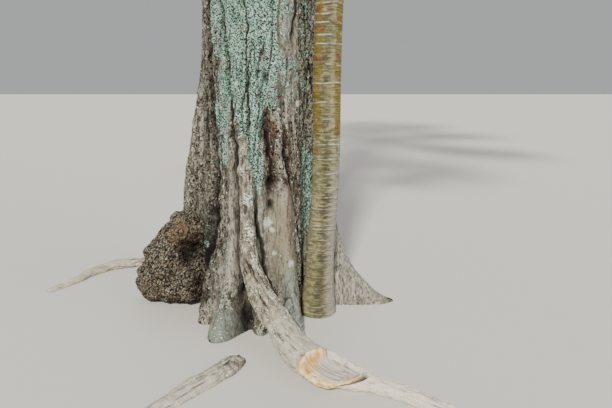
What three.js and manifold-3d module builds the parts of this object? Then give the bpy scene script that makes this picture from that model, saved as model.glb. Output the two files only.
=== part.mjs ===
// An old monkey puzzle tree, whole, with a slender young stem of the same clump pressed into its trunk.
// Millimetres, +Z up. The ground is z = 0, the origin is the middle of the trunk's flat cut, -Y is the front.
import * as THREE from "three";
import { mergeVertices } from "three/addons/utils/BufferGeometryUtils.js";
import Module from "manifold-3d";

const wasm = await Module();
wasm.setup();

const { PI, cos, sin, exp, sqrt, tan } = Math;
const { degToRad: radians, lerp: mix, euclideanModulo } = THREE.MathUtils;
const at = (x, y, z) => new THREE.Vector3(x, y, z);

// Driving dimensions. Angles are in degrees from +X, so -90 is the front. Widths of flutes and roots are
// half widths.
const touch = 0.4; // clearance where two pieces meet
const trunk = {
  top: 17800, // where the wood ends and the leader's leaves take over
  lean: 0.013, // run towards +X for each millimetre of height
  column: 440, // radius at the ground of the column alone
  vanish: 18330, // height at which the column would taper away
  taper: 0.75,
  swell: 37, // how much thicker the foot is all round
  swellHeight: 900,
  softness: 12, // higher gives sharper creases between the flutes
  ridgeHeight: 3600, // height over which the flutes die out
  turnHeight: 900, // height over which they turn from footAngle to shaftAngle
  widthHeight: 350, // height over which they narrow from footWidth to shaftWidth
  flarePower: 0.8, // how a foot runs out with height, unless its flute says otherwise
};

// Each flute reaches out to a foot, over a flare of that height, and stands on the column as a ridge.
const flutes = [
  { footAngle: -130, shaftAngle: -152, reach: 590, flare: 420, ridge: 62, footWidth: 130, shaftWidth: 150 },
  { footAngle: -110, shaftAngle: -114, reach: 745, flare: 340, ridge: 66, footWidth: 150, shaftWidth: 75 },
  { footAngle: -88, shaftAngle: -95, reach: 600, flare: 500, ridge: 74, footWidth: 100, shaftWidth: 95 },
  { footAngle: -68, shaftAngle: -70, reach: 745, flare: 300, ridge: 72, footWidth: 80, shaftWidth: 120 },
  { footAngle: -7, shaftAngle: -9, reach: 930, flare: 300, ridge: 62, footWidth: 140, shaftWidth: 130 },
  { footAngle: 38, shaftAngle: 34, reach: 860, flare: 280, ridge: 66, footWidth: 125, shaftWidth: 115 },
  { footAngle: 84, shaftAngle: 79, reach: 860, flare: 340, ridge: 54, footWidth: 150, shaftWidth: 130 },
  { footAngle: 128, shaftAngle: 124, reach: 960, flare: 300, ridge: 66, footWidth: 130, shaftWidth: 115 },
  {
    footAngle: 174,
    shaftAngle: 178,
    reach: 670,
    flare: 1640,
    flarePower: 3,
    ridge: 10,
    footWidth: 150,
    shaftWidth: 120,
  },
];
const fluteLength = 0.53; // half length of a flute's ellipse, as a share of how far the flute reaches
const fluteRoot = 0.9; // share of the column's radius out of which the flutes stand
const cleft = { angle: -37, width: 15, depth: 0.2, height: 1900 }; // where the young stem stands

// Heights of the rings of points round the trunk, with the number of points in each.
const trunkLevels = [
  { count: 64, heights: [0, 60, 150, 260, 400, 580, 800, 1100, 1500, 2000, 2600] },
  { count: 32, heights: [3800, 5400, 7000] },
  { count: 16, heights: [8600, 10300, 12100, 14000, 16000] },
];

// Roots that run on over the ground: [x, y, z of the middle, half width, half thickness].
const rootSides = 7;
const frontRoot = [
  [-72, -375, 1300, 42, 46],
  [-74, -450, 950, 44, 58],
  [-65, -530, 660, 48, 68],
  [-34, -620, 440, 60, 78],
  [45, -705, 280, 78, 82],
  [140, -790, 165, 88, 76],
  [222, -920, 95, 98, 68],
  [335, -1045, 60, 124, 64],
  [465, -1145, 46, 124, 58],
  [615, -1205, 34, 80, 44],
  [790, -1290, 22, 54, 36],
  [960, -1395, 12, 48, 30],
  [1130, -1490, -4, 40, 24],
];
const greyRoot = [
  [-120, -640, 20, 60, 50],
  [-88, -850, -14, 50, 38],
  [-104, -1000, 6, 64, 40],
  [-240, -1180, 8, 70, 38],
  [-384, -1350, 0, 56, 34],
  [-500, -1480, -12, 40, 24],
];
const leftRoot = [
  [-430, 270, 200, 110, 110],
  [-800, 520, 70, 80, 70],
  [-1190, 650, 26, 58, 46],
  [-1400, 570, 30, 54, 44],
  [-1540, 440, 18, 48, 40],
  [-1620, 250, 4, 44, 32],
  [-1740, 30, -8, 36, 24],
];
const backRoot = [
  [60, 560, 180, 110, 100],
  [110, 880, 50, 82, 64],
  [60, 1160, 16, 62, 44],
  [210, 1400, 2, 50, 34],
  [300, 1640, -10, 36, 24],
];
const backLeftRoot = [
  [-470, 600, 160, 110, 100],
  [-640, 940, 50, 80, 64],
  [-760, 1260, 16, 60, 42],
  [-1010, 1520, -6, 42, 28],
];

// The burl at the left foot, as lumps: [x, y, z, radius across, radius up].
const burl = [
  [-640, -70, 270, 255, 295],
  [-575, -75, 490, 180, 180],
  [-780, -30, 150, 200, 180],
];

const youngStem = {
  x: 400,
  y: -290,
  lean: 0.0295, // run towards +X for each millimetre of height
  top: 5700,
  radius: 92,
  foot: 42, // how much thicker the foot is
  footHeight: 230,
  tipShare: 0.4, // radius left at the top
  bendFrom: 1800, // height above which it bends out, by bendX and bendY for each square metre
  bendX: 14,
  bendY: -9,
  bow: 20, // how far it bows towards +X about bowHeight, over bowSpan either way
  bowHeight: 1050,
  bowSpan: 450,
  sides: 14,
  heights: [0, 90, 220, 420, 750, 1100, 1500, 2300, 3200, 4100, 4900],
};

// A pair gives the values at the lowest whorl and at the highest.
const crown = {
  base: 8700, // height of the lowest whorl
  top: 16750, // height of the highest whorl
  whorls: 7,
  fives: 5, // whorls of five boughs, the rest having four
  limbWhorls: 4, // whorls low enough for bare limbs
  turn: 41, // each whorl is turned this far from the one below
  reach: 4600,
  widest: 0.18, // share of the crown's height where it is widest
  roundness: 1.02,
  rise: [0.04, 0.7],
  risePower: 1.3,
  droop: [0.74, 0.42],
  upturn: [0.54, 0.16],
  hang: [1, 0.1], // how much the branchlets hang
  spread: [1120, 806], // length of a side branchlet
  limbRadius: [96, 52],
  sector: 29, // a bough's branchlets stay this far either side of it
  girth: 150, // radius of a leafy branchlet at the points of its leaves
};
const bareShare = 0.4; // share of a limb's bough without leaves
// The masses of foliage: the bare share of the stem, its rings of sprays and its side branchlets.
const masses = {
  limbed: { bare: 0, steps: 5, branchlets: 6 },
  upper: { bare: 0.3, steps: 5, branchlets: 7 },
  young: { bare: 0.15, steps: 4, branchlets: 3 },
};
const limbTaper = { tip: 0.58, collar: 34, collarPower: 7, stops: [0, 0.3, 1], sides: 6 };
const leafy = { sides: 3, core: 0.56, stalk: 0.5, root: 0.2, tip: 0.72, thinning: 0.35, sideGirth: 0.9 };

const young = {
  azimuths: [-150, -75, 0],
  height: 4900, // of the first bough, with the next ones that much lower
  drop: 170,
  reach: 1250,
  shorter: 60,
  rise: 0.5,
  droop: 0.45,
  upturn: 0.3,
  hang: 0.5,
  spread: 620,
  sector: 50,
  girth: 105,
};
const leaders = {
  bow: 20, // how far the middle stands off the straight line, times four
  old: { height: 950, girth: 150, ring: 5, seed: 3000 },
  young: { height: 620, girth: 105, ring: 4, seed: 3001 },
};

const bark = { color: 0x6f665a, roughness: 0.95, metalness: 0 };
const looks = {
  trunk: bark,
  limb: { ...bark, color: 0x746a5d },
  young: { color: 0x8a7b4c, roughness: 0.8, metalness: 0 },
  leaves: { color: 0x2f4a24, roughness: 0.6, metalness: 0 },
};

// Repeatable draws from 0 to 1.
function draws(seed) {
  let state = Math.imul(seed + 1, 2654435761) >>> 0;
  return () => {
    state = (Math.imul(state, 1664525) + 1013904223) >>> 0;
    return state / 4294967296;
  };
}

function geometryFrom(positions, indices) {
  return new THREE.BufferGeometry()
    .setAttribute("position", new THREE.Float32BufferAttribute(positions, 3))
    .setIndex(indices);
}

// Joins rings of points into one closed solid. Each ring runs anticlockwise seen from the far end, and may
// have half as many points as the one before. With an apex the solid ends in that point.
function skin(rings, apex) {
  const points = rings.flat();
  const faces = [];
  let start = 0;
  for (let level = 0; level + 1 < rings.length; level++) {
    const count = rings[level].length;
    const upper = rings[level + 1].length;
    const next = start + count;
    for (let i = 0; i < count; i++) {
      const j = (i + 1) % count;
      if (count === upper) {
        faces.push([start + i, start + j, next + j], [start + i, next + j, next + i]);
      } else if (i % 2 === 0) {
        faces.push([start + i, start + j, next + i / 2]);
      } else {
        const far = next + (((i + 1) / 2) % upper);
        faces.push([start + i, start + j, far], [start + i, far, next + (i - 1) / 2]);
      }
    }
    start = next;
  }
  closeRing(points, faces, 0, rings[0], centreOf(rings[0]), false);
  const last = rings[rings.length - 1];
  closeRing(points, faces, start, last, apex ?? centreOf(last), true);
  return solidOf(geometryFrom(points.flatMap((p) => p.toArray()), faces.flat()));
}

const centreOf = (ring) => ring.reduce((sum, p) => sum.add(p), at(0, 0, 0)).divideScalar(ring.length);

function closeRing(points, faces, first, ring, middle, isFarEnd) {
  const hub = points.push(middle) - 1;
  for (let i = 0; i < ring.length; i++) {
    const a = first + i;
    const b = first + ((i + 1) % ring.length);
    faces.push(isFarEnd ? [a, b, hub] : [b, a, hub]);
  }
}

function solidOf(geometry) {
  const bare = geometry.clone();
  bare.deleteAttribute("normal");
  bare.deleteAttribute("uv");
  const merged = mergeVertices(bare, 1e-3);
  return new wasm.Manifold(
    new wasm.Mesh({
      numProp: 3,
      vertProperties: merged.attributes.position.array,
      triVerts: new Uint32Array(merged.index.array),
    }),
  );
}

function geometryOf(solid) {
  const mesh = solid.getMesh();
  const positions = [];
  for (let i = 0; i < mesh.numVert; i++) {
    positions.push(...mesh.vertProperties.subarray(i * mesh.numProp, i * mesh.numProp + 3));
  }
  return geometryFrom(positions, [...mesh.triVerts]);
}

// Whether every edge has just two faces once points that 32-bit numbers can't tell apart are one.
function isSound(solid) {
  const { index } = mergeVertices(geometryOf(solid), 1e-3);
  const uses = new Map();
  for (let i = 0; i < index.count; i += 3) {
    const corners = [0, 1, 2].map((k) => index.getX(i + k));
    if (new Set(corners).size < 3) continue;
    for (const k of [0, 1, 2]) {
      const edge = [corners[k], corners[(k + 1) % 3]].sort((a, b) => a - b).join();
      uses.set(edge, (uses.get(edge) ?? 0) + 1);
    }
  }
  return [...uses.values()].every((count) => count === 2);
}

// Keeps the one main body: a loose scrap goes, and a hollow that fusing sealed is filled.
function oneBody(solid) {
  const merged = solidOf(geometryOf(solid));
  return merged.decompose().reduce((main, body) => (body.volume() > main.volume() ? body : main));
}

const through = (points) => new THREE.CatmullRomCurve3(points, false, "centripetal");

// The stretch of a line, given as a function of one share, between two shares.
class Stretch extends THREE.Curve {
  constructor(line, from, to) {
    super();
    Object.assign(this, { line, from, to });
  }
  getPoint(t, target = new THREE.Vector3()) {
    return target.copy(this.line(mix(this.from, this.to, t)));
  }
}

// A ring of points round a middle, spanned by two directions.
function ringOf(middle, across, other, [width, thickness, turn], count) {
  return Array.from({ length: count }, (_, i) => {
    const angle = (2 * PI * i) / count + turn;
    return middle
      .clone()
      .addScaledVector(across, width * cos(angle))
      .addScaledVector(other, thickness * sin(angle));
  });
}

// A tube along a curve, with a ring at each stop: { share of it, size: [half width, half thickness, turn] }.
function tube(curve, stops, sides, apex) {
  const start = curve.getTangent(0);
  const across = Math.hypot(start.x, start.y) > 0.01 ? at(-start.y, start.x, 0) : at(1, 0, 0);
  const rings = stops.map(({ share, size }) => {
    const ahead = curve.getTangent(share);
    across.addScaledVector(ahead, -across.dot(ahead)).normalize();
    return ringOf(curve.getPoint(share), across, ahead.clone().cross(across), size, sides);
  });
  return skin(rings, apex);
}

const trunkCentre = (height) => at(trunk.lean * height, 0, height);

// Radius of the column alone, without its flutes.
function columnRadius(height) {
  const left = 1 - height / trunk.vanish;
  return trunk.column * left ** trunk.taper + trunk.swell * exp(-height / trunk.swellHeight);
}

// How far out one flute stands in the direction of an angle: the far side of an ellipse that holds the axis.
function fluteRadius(flute, angle, height) {
  const middle = mix(flute.shaftAngle, flute.footAngle, exp(-height / trunk.turnHeight));
  const off = angle - radians(middle);
  const flare = exp(-((height / flute.flare) ** (flute.flarePower ?? trunk.flarePower)));
  const foot = (flute.reach - fluteRoot * columnRadius(0)) * flare;
  const reach = fluteRoot * columnRadius(height) + foot + flute.ridge * exp(-height / trunk.ridgeHeight);
  const width = mix(flute.shaftWidth, flute.footWidth, exp(-height / trunk.widthHeight));
  const length = fluteLength * reach;
  const offset = reach - length;
  const squares = (cos(off) / length) ** 2 + (sin(off) / width) ** 2;
  const along = (offset * cos(off)) / length ** 2;
  return (along + sqrt(along ** 2 - squares * ((offset / length) ** 2 - 1))) / squares;
}

// Radius of the fluted trunk: a high power mean joins the column and its flutes softly.
function trunkRadius(angle, height) {
  const radii = [columnRadius(height), ...flutes.map((flute) => fluteRadius(flute, angle, height))];
  const joined = radii.reduce((sum, radius) => sum + radius ** trunk.softness, 0) ** (1 / trunk.softness);
  const away = euclideanModulo(angle - radians(cleft.angle) + PI, 2 * PI) - PI;
  const near = exp(-((away / radians(cleft.width)) ** 2)) * exp(-((height / cleft.height) ** 3));
  return joined * (1 - cleft.depth * near);
}

function trunkRing(height, count, grow) {
  return Array.from({ length: count }, (_, i) => {
    const angle = (2 * PI * i) / count;
    const radius = trunkRadius(angle, height) + grow;
    return trunkCentre(height).add(at(radius * cos(angle), radius * sin(angle), 0));
  });
}

function trunkSkin(grow = 0) {
  const rings = trunkLevels.flatMap(({ count, heights }) => heights.map((z) => trunkRing(z, count, grow)));
  return skin([...rings, trunkRing(trunk.top + grow, trunkLevels.at(-1).count, grow)]);
}

function surfaceRoot(stations) {
  const path = stations.map(([x, y, z]) => at(x, y, z));
  const stops = stations.map(([, , , width, thickness], i) => ({
    share: i / (stations.length - 1),
    size: [width, thickness, 0],
  }));
  return tube(through(path), stops, rootSides);
}

// A lump of the burl: a ball whose surface swells and sinks in knobs.
function burlLump([x, y, z, across, high]) {
  const ball = new THREE.IcosahedronGeometry(1, 2);
  const places = ball.attributes.position;
  for (let i = 0; i < places.count; i++) {
    const p = new THREE.Vector3().fromBufferAttribute(places, i).normalize();
    const knob = 1 + 0.06 * sin(7 * p.x + 2 * p.z) * sin(6 * p.y - 1) + 0.04 * sin(9 * p.z + 3 * p.x);
    places.setXYZ(i, x + across * knob * p.x, y + across * knob * p.y, z + high * knob * p.z);
  }
  return solidOf(ball);
}

function stemCentre(height) {
  const above = Math.max(0, height - youngStem.bendFrom) / 1000;
  const bow = youngStem.bow * exp(-(((height - youngStem.bowHeight) / youngStem.bowSpan) ** 2));
  return at(
    youngStem.x + youngStem.lean * height + bow + youngStem.bendX * above ** 2,
    youngStem.y + youngStem.bendY * above ** 2,
    height,
  );
}

function stemRadius(height) {
  const thin = 1 - (1 - youngStem.tipShare) * (height / youngStem.top) ** 3;
  return (youngStem.radius + youngStem.foot * exp(-height / youngStem.footHeight)) * thin;
}

function stemSkin(grow = 0) {
  const rings = [...youngStem.heights, youngStem.top + grow].map((z) => {
    const radius = stemRadius(z) + grow;
    return ringOf(stemCentre(z), at(1, 0, 0), at(0, 1, 0), [radius, radius, 0], youngStem.sides);
  });
  return skin(rings);
}

function buildTrunk() {
  const below = new THREE.BoxGeometry(8000, 8000, 1000).translate(0, 0, -500);
  let whole = trunkSkin();
  for (const stations of [frontRoot, greyRoot, leftRoot, backRoot, backLeftRoot]) {
    whole = whole.add(surfaceRoot(stations));
  }
  for (const lump of burl) whole = whole.add(burlLump(lump));
  return whole.subtract(solidOf(below)).subtract(stemSkin(touch));
}

const outwardsOf = (bough) => at(cos(bough.azimuth), sin(bough.azimuth), 0);
const sidewaysOf = (bough) => at(-sin(bough.azimuth), cos(bough.azimuth), 0);

// The line of a bough, as a function of the share of its reach. It leaves the trunk, sags, and turns up at
// its tip.
function boughLine(bough) {
  return (u) =>
    bough.root
      .clone()
      .addScaledVector(outwardsOf(bough), bough.reach * u)
      .addScaledVector(sidewaysOf(bough), bough.reach * bough.sway * u ** 2)
      .add(at(0, 0, bough.reach * (bough.rise * u - bough.droop * u ** 2 + bough.upturn * u ** 3)));
}

// Every bough of the crown, whorl by whorl, from the crown's dimensions and the bough's own draws.
function crownBoughs() {
  const boughs = [];
  for (let whorl = 0; whorl < crown.whorls; whorl++) {
    const share = whorl / (crown.whorls - 1);
    const count = whorl < crown.fives ? 5 : 4;
    const profile = sqrt(1 - ((share - crown.widest) / crown.roundness) ** 2);
    for (let i = 0; i < count; i++) {
      const name = "abcdefg"[whorl] + (i + 1);
      const draw = draws(100 * whorl + i);
      boughs.push({
        name,
        hasLimb: whorl < crown.limbWhorls,
        seed: 1000 + 100 * whorl + i,
        root: trunkCentre(mix(crown.base, crown.top, share) + 300 * (draw() - 0.5)),
        azimuth: radians((360 * i) / count + crown.turn * whorl + 12 * (draw() - 0.5)),
        reach: crown.reach * profile * (0.88 + 0.14 * draw()),
        sway: 0.12 * (draw() - 0.5),
        rise: mix(...crown.rise, share ** crown.risePower),
        droop: mix(...crown.droop, share),
        upturn: mix(...crown.upturn, share),
        hang: mix(...crown.hang, share),
        spread: mix(...crown.spread, share),
        limbRadius: mix(...crown.limbRadius, share),
        sector: crown.sector,
        girth: crown.girth,
      });
    }
  }
  return boughs;
}

// The young stem's own small crown, as boughs of the same kind near its top.
function youngBoughs() {
  return young.azimuths.map((azimuth, i) => ({
    ...young,
    seed: 2000 + i,
    root: stemCentre(young.height - young.drop * i),
    azimuth: radians(azimuth),
    reach: young.reach - young.shorter * i,
    sway: 0.05,
  }));
}

// A branchlet clad in leaves: a slim core out of which rings of three sprays of leaves stand, and point on.
// Each ring is turned half a side back from the last, so that the faces between them stay outside the core.
function rope(curve, girth, steps, bare = 0, turn = 0) {
  const stops = [];
  const addRing = (share, radius) => {
    stops.push({ share, size: [radius, radius, turn - (PI / leafy.sides) * stops.length] });
  };
  if (bare > 0) addRing(0, girth * leafy.stalk);
  for (let i = 0; i < steps; i++) {
    const step = (1 - bare) / steps;
    const radius = girth * (1 - leafy.thinning * ((i + 0.5) / steps) ** 2);
    addRing(bare + step * i, radius * (i > 0 || bare > 0 ? leafy.core : leafy.root));
    addRing(bare + step * (i + leafy.tip), radius);
  }
  return tube(curve, stops, leafy.sides, curve.getPoint(1));
}

// The rule by which branchlets leave a bough: turn by turn to its two sides, shorter towards the tip, each
// with its own draws. Low in the crown they hang and turn up again, high in it they rise.
function sideBranchlets(bough, from, count) {
  const line = boughLine(bough);
  const draw = draws(bough.seed);
  return Array.from({ length: count }, (_, i) => {
    const along = (i + 0.6) / count;
    const u = mix(from, 0.96, along);
    const side = i % 2 ? 1 : -1;
    const angle = radians(62 - 16 * along + 10 * (draw() - 0.5));
    const room = (bough.reach * u * tan(radians(bough.sector)) - bough.girth) / sin(angle);
    const length = Math.min(room, bough.spread * (1 - 0.5 * along ** 2) * (0.86 + 0.28 * draw()));
    const sag = bough.hang * (1 + 0.6 * draw());
    const lift = 0.5 * (1 - bough.hang) + 0.6 * (draw() - 0.4);
    const start = line(u);
    const ahead = line(u + 0.01).sub(start).normalize();
    const path = [0, 0.33, 0.67, 1].map((s) =>
      start
        .clone()
        .addScaledVector(ahead, length * s * cos(angle))
        .addScaledVector(sidewaysOf(bough), side * length * s * sin(angle))
        .add(at(0, 0, length * (lift * s - sag * s ** 2 + 0.55 * sag * s ** 3))),
    );
    const turn = 2 * draw();
    return (extra) => rope(through(path), leafy.sideGirth * bough.girth, 2, 0, turn + extra);
  });
}

// A mass with one more branchlet, turned a little where it would meet the mass edge on. It is left out where
// it would touch another piece.
function fused(mass, twigTurned, others) {
  for (const extra of [0, 0.4, 0.8]) {
    const twig = twigTurned(extra);
    if (others.some((other) => !twig.intersect(other).isEmpty())) continue;
    const joined = mass.add(twig);
    if (isSound(joined)) return joined;
  }
  return mass;
}

// One mass of foliage: the bough's own leafy end with its side branchlets fused on.
function foliage(bough, from, { bare, steps, branchlets }, others) {
  const stem = rope(new Stretch(boughLine(bough), from, 1), bough.girth, steps, bare);
  return sideBranchlets(bough, mix(from, 1, bare), branchlets).reduce(
    (mass, twigTurned) => fused(mass, twigTurned, others),
    stem,
  );
}

// The leader that ends a stem: upright, with branchlets rising all round it.
function leader(foot, { height, girth, ring, seed }, others) {
  const draw = draws(seed);
  const upright = (u) => foot.clone().add(at(leaders.bow * u * (1 - u), 0, height * u));
  let mass = rope(new Stretch(upright, -0.05, 1), girth, 4);
  for (let i = 0; i < ring; i++) {
    const angle = (2 * PI * (i + 0.5 * draw())) / ring;
    const length = height * (0.86 + 0.2 * draw());
    const line = (s) =>
      foot
        .clone()
        .addScaledVector(at(cos(angle), sin(angle), 0), 0.86 * length * s)
        .add(at(0, 0, 0.16 * height + length * (0.34 * s + 0.16 * s ** 2)));
    const twigTurned = (extra) => rope(new Stretch(line, 0, 1), leafy.sideGirth * girth, 2, 0, extra);
    mass = fused(mass, twigTurned, others);
  }
  return mass;
}

// A bare limb from inside the trunk to the point where its foliage starts.
function limb(bough) {
  const stops = limbTaper.stops.map((share) => {
    const collar = limbTaper.collar * exp(-share * limbTaper.collarPower);
    const radius = bough.limbRadius * mix(1, limbTaper.tip, share) + collar;
    return { share, size: [radius, radius, 0] };
  });
  return tube(new Stretch(boughLine(bough), 0, bareShare), stops, limbTaper.sides);
}

const tree = new THREE.Group();
const placed = [];

function place(name, pieces, look) {
  const solid = oneBody(pieces);
  if (!isSound(solid)) throw new Error(name + " meets itself edge on");
  const mesh = new THREE.Mesh(geometryOf(solid), new THREE.MeshStandardMaterial(looks[look]));
  mesh.name = name;
  tree.add(mesh);
  placed.push(solid);
}

const trunkRoom = trunkSkin(touch);
const stemRoom = stemSkin(touch);
place("trunk", buildTrunk(), "trunk");
place("young_stem", stemSkin(), "young");
for (const bough of crownBoughs()) {
  if (bough.hasLimb) {
    place("bough_" + bough.name, limb(bough).subtract(trunkRoom), "limb");
    const start = bareShare + touch / bough.reach;
    place("foliage_" + bough.name, foliage(bough, start, masses.limbed, placed), "leaves");
  } else {
    const mass = foliage(bough, 0, masses.upper, placed);
    place("foliage_" + bough.name, mass.subtract(trunkRoom), "leaves");
  }
}
const crownLeader = leader(trunkCentre(trunk.top), leaders.old, placed);
place("leader_foliage", crownLeader.subtract(trunkRoom), "leaves");
youngBoughs().forEach((bough, i) => {
  const mass = foliage(bough, 0, masses.young, placed);
  place("young_foliage_" + (i + 1), mass.subtract(stemRoom), "leaves");
});
const youngLeader = leader(stemCentre(youngStem.top), leaders.young, placed);
place("young_leader_foliage", youngLeader.subtract(stemRoom), "leaves");

export default tree;
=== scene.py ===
import bpy
import numpy as np
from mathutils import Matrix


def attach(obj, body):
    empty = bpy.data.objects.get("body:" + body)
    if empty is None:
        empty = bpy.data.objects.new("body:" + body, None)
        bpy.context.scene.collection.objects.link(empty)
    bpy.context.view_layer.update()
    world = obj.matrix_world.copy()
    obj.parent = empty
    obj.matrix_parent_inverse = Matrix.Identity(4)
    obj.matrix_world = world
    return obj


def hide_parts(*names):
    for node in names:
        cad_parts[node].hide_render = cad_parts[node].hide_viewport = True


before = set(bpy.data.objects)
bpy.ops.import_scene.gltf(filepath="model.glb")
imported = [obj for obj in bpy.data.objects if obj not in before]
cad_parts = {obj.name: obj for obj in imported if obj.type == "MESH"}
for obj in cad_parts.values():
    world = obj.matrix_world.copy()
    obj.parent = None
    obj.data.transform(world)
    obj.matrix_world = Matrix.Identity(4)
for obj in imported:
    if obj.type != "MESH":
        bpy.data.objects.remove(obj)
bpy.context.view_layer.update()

fine = 1  # share of the full number of rings and of points in a ring
towardsCamera = np.radians(-90)
up = np.array([0, 0, 1.0])


# Small tools

# A mix of a and b, by share.
def mix(a, b, share):
    return a + (b - a) * share


# A soft step from 0 to 1 as value goes from low to high: t squared times (3 - 2t).
def softStep(value, low, high):
    t = np.clip((value - low) / (high - low), 0, 1)
    return t * t * (3 - 2 * t)


# A bell that is 1 at the middle and falls off over the width.
def bell(value, middle, width):
    return np.exp(-(((value - middle) / width) ** 2))


# The difference of two angles, brought between half a turn either way.
def turnBetween(angle, other):
    return (angle - other + np.pi) % (2 * np.pi) - np.pi


# The seeded draws of the part's source: each state is the last one times a large number plus another, and a
# draw is the state over its range.
def draws(seed):
    state = ((seed + 1) * 2654435761) & 0xFFFFFFFF
    while True:
        state = (state * 1664525 + 1013904223) & 0xFFFFFFFF
        yield state / 4294967296


# Vectors brought to a length of 1.
def unit(vectors):
    return vectors / np.linalg.norm(vectors, axis=-1, keepdims=True)


# Three whole numbers from 0 to 1023 for each corner of a lattice: its coordinates times large primes, mixed
# by exclusive or, shifts and products, and read ten bits at a time.
def mixedNumbers(corner, seed):
    i, j, k = np.moveaxis(corner, -1, 0)
    n = ((i * 73856093) ^ (j * 19349663) ^ (k * 83492791) ^ (seed * 40503)) & 0xFFFFFFFF
    n = ((n ^ (n >> 15)) * 739982445) & 0xFFFFFFFF
    n = ((n ^ (n >> 12)) * 695872825) & 0xFFFFFFFF
    n = n ^ (n >> 15)
    return np.stack([(n >> shift) & 1023 for shift in (0, 10, 20)], -1)


# Gradient noise from about -1 to 1 with lumps of the given size: each corner of the lattice has a slope taken
# from its mixed numbers, and the slopes' heights at a point are blended by a smooth fifth-power step.
def noise(points, size, seed):
    p = points / size
    cell = np.floor(p).astype(np.int64)
    f = p - cell
    fade = f ** 3 * (f * (f * 6 - 15) + 10)
    total = np.zeros(points.shape[:-1])
    for corner in np.ndindex(2, 2, 2):
        slopes = mixedNumbers(cell + corner, seed) / 511.5 - 1
        height = (slopes * (f - corner)).sum(-1)
        total += height * np.prod(np.where(corner, fade, 1 - fade), axis=-1)
    return total * 1.4


# Noise in several octaves, each half as large and half as high as the last.
def rough(points, size, seed, octaves=3):
    return sum(noise(points, size / 2 ** i, seed + i) / 2 ** i for i in range(octaves))


# Distance from each point to the nearest of the random spots, of which each cell of a lattice holds one.
def spotDistance(points, size, seed):
    p = points / size
    cell = np.floor(p).astype(np.int64)
    nearest = np.full(points.shape[:-1], 9.0)
    for corner in np.ndindex(3, 3, 3):
        at = cell + corner - 1
        away = p - (at + mixedNumbers(at, seed) / 1023)
        nearest = np.minimum(nearest, np.linalg.norm(away, axis=-1))
    return nearest


# Unit normals of a grid of points, rings by columns: the step round the ring crossed with the step along.
def gridNormals(points):
    across = np.roll(points, -1, 1) - np.roll(points, 1, 1)
    normal = np.cross(across, np.gradient(points, axis=0))
    return normal / np.maximum(np.linalg.norm(normal, axis=-1, keepdims=True), 1e-12)


# Faces of a closed skin over rings of points: quads from ring to ring, and triangles from the end rings to
# two poles, which are the last two points.
def skinFaces(rings, around):
    i, j = np.meshgrid(np.arange(rings - 1), np.arange(around), indexing="ij")
    k = (j + 1) % around
    quads = np.stack([i * around + j, i * around + k, (i + 1) * around + k, (i + 1) * around + j], -1)
    ring = np.arange(around)
    after = (ring + 1) % around
    last = (rings - 1) * around
    start = np.stack([after, ring, np.full(around, rings * around)], -1)
    end = np.stack([last + ring, last + after, np.full(around, rings * around + 1)], -1)
    return [quads.reshape(-1, 4), np.concatenate([start, end])]


# The points or values of a skin: the rings one after another, then the middles of the first and the last.
def withPoles(grid):
    return np.concatenate([grid.reshape(-1, *grid.shape[2:]), [grid[0].mean(0), grid[-1].mean(0)]])


# A smooth curve through points that are spaced by their distances: each share of the length falls in one
# stretch, and a cubic runs over it with the slopes that the neighbouring points give.
def through(points, shares):
    knots = np.r_[0, np.cumsum(np.linalg.norm(np.diff(points[:, :3], axis=0), axis=1))]
    knots /= knots[-1]
    slopes = np.gradient(points, knots, axis=0)
    i = np.clip(np.searchsorted(knots, shares, "right") - 1, 0, len(knots) - 2)
    step = (knots[i + 1] - knots[i])[:, None]
    t = (shares[:, None] - knots[i][:, None]) / step
    return (
        points[i] * (2 * t ** 3 - 3 * t ** 2 + 1) + slopes[i] * step * (t ** 3 - 2 * t ** 2 + t)
        + points[i + 1] * (3 * t ** 2 - 2 * t ** 3) + slopes[i + 1] * step * (t ** 3 - t ** 2)
    )


triangles = []


# Makes one piece of the tree from points and faces, with its values for the materials, and ties it to its
# body: it rides on the only body and stands for the nodes named, which it hides. The deal gives each face
# its material.
def addPiece(name, points, faceSets, materials, slot, nodes, values=None, deal=None, smooth=True):
    mesh = bpy.data.meshes.new(name)
    corners = np.concatenate([faces.ravel() for faces in faceSets]).astype(np.int32)
    sizes = np.concatenate([np.full(len(faces), faces.shape[1]) for faces in faceSets])
    mesh.vertices.add(len(points))
    mesh.vertices.foreach_set("co", points.astype(np.float32).ravel())
    mesh.loops.add(len(corners))
    mesh.polygons.add(len(sizes))
    mesh.polygons.foreach_set("loop_start", np.r_[0, np.cumsum(sizes)[:-1]].astype(np.int32))
    mesh.polygons.foreach_set("vertices", corners)
    for material in materials:
        mesh.materials.append(material)
    if deal is not None:
        mesh.polygons.foreach_set("material_index", deal.astype(np.int32))
    mesh.polygons.foreach_set("use_smooth", np.full(len(sizes), smooth))
    mesh.update(calc_edges=True)
    for key, value in (values or {}).items():
        mesh.attributes.new(key, "FLOAT", "POINT").data.foreach_set("value", value.astype(np.float32))
    piece = bpy.data.objects.new(name, mesh)
    bpy.context.scene.collection.objects.link(piece)
    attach(piece, "root")
    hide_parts(*nodes)
    triangles.append(int((sizes - 2).sum()))
    print("  " + name, triangles[-1], "triangles")


# Makes a piece from a closed grid of points with a pole at each end, and brings its values between 0 and 1.
def addSkin(name, grid, materials, slot, nodes, values, deal=None):
    rings, around = grid.shape[:2]
    values = {key: withPoles(np.broadcast_to(np.clip(value, 0, 1), (rings, around)))
              for key, value in values.items()}
    addPiece(name, withPoles(grid), skinFaces(rings, around), materials, slot, nodes, values, deal)


# Materials

# An sRGB hex colour turned to linear: each channel c becomes c / 12.92 when dark, else
# ((c + 0.055) / 1.055) to the power 2.4.
def tone(code):
    channels = [int(code[i:i + 2], 16) / 255 for i in (1, 3, 5)]
    return (*[c / 12.92 if c <= 0.04045 else ((c + 0.055) / 1.055) ** 2.4 for c in channels], 1)


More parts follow.
